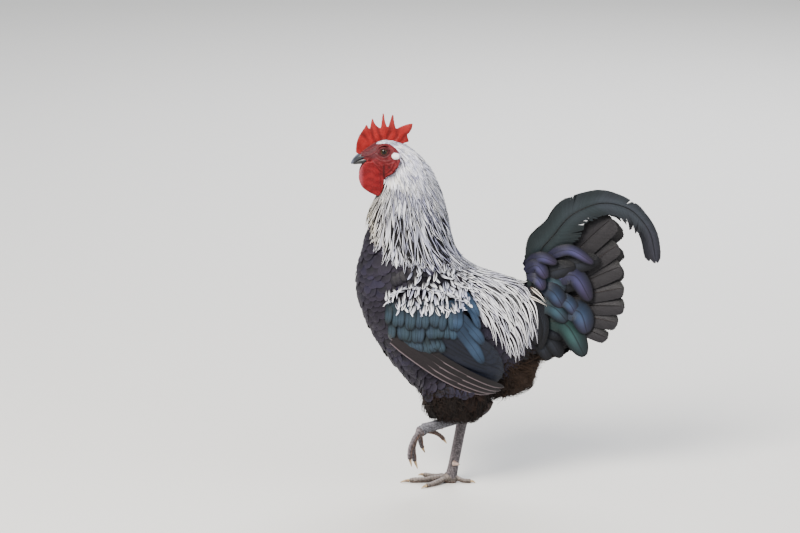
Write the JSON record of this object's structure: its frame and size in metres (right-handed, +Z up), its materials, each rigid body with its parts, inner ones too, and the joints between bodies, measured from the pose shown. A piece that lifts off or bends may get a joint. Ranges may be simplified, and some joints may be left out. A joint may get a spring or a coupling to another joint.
{
  "type": "cockerel",
  "caption": "Life-size still model of a silver-hackled black cockerel in mid-stride, standing on its right foot with the left foot lifted.",
  "frame": {"origin": "on the floor, in the middle of the sole of the standing (right) foot", "axes": "+Z up, the bird faces -X, its left side is -Y; the tail's length runs along +X"},
  "size_m": [0.4642, 0.1602, 0.5725],
  "materials": {
    "comb_skin": "fleshy, finely grained, satin",
    "face_skin": "bare red skin, wrinkled",
    "ear_lobe": "smooth white skin",
    "beak_horn": "dark slate horn, satin",
    "claw_horn": "pale horn, satin",
    "eye": "wet gloss",
    "hackle_feather": "silver-white feathers with black centre stripes",
    "black_feather": "soft black-brown feathers",
    "gloss_feather": "black feathers with green, blue and purple gloss",
    "leg_scale": "grey-pink scutes"
  },
  "bodies": {
    "root": {"beak_lower": "beak_horn", "beak_upper": "beak_horn", "claw_left_hind": "claw_horn", "claw_left_inner": "claw_horn", "claw_left_middle": "claw_horn", "claw_left_outer": "claw_horn", "claw_right_hind": "claw_horn", "claw_right_inner": "claw_horn", "claw_right_middle": "claw_horn", "claw_right_outer": "claw_horn", "comb": "comb_skin", "earlobe_left": "ear_lobe", "earlobe_right": "ear_lobe", "eye_left": "eye", "eye_right": "eye", "foot_left": "leg_scale", "foot_right": "leg_scale", "head": "face_skin", "neck": "hackle_feather", "shank_left": "leg_scale", "shank_right": "leg_scale", "sickle_left": "gloss_feather", "sickle_right": "gloss_feather", "spur_left": "claw_horn", "spur_right": "claw_horn", "tail_fan_left": "black_feather", "tail_fan_right": "black_feather", "tail_root": "gloss_feather", "thigh_left": "black_feather", "thigh_right": "black_feather", "toe_left_hind": "leg_scale", "toe_left_inner": "leg_scale", "toe_left_middle": "leg_scale", "toe_left_outer": "leg_scale", "toe_right_hind": "leg_scale", "toe_right_inner": "leg_scale", "toe_right_middle": "leg_scale", "toe_right_outer": "leg_scale", "trunk": "black_feather", "wattle_left": "comb_skin", "wattle_right": "comb_skin", "wing_left": "gloss_feather", "wing_right": "gloss_feather"}
  },
  "joints": []
}
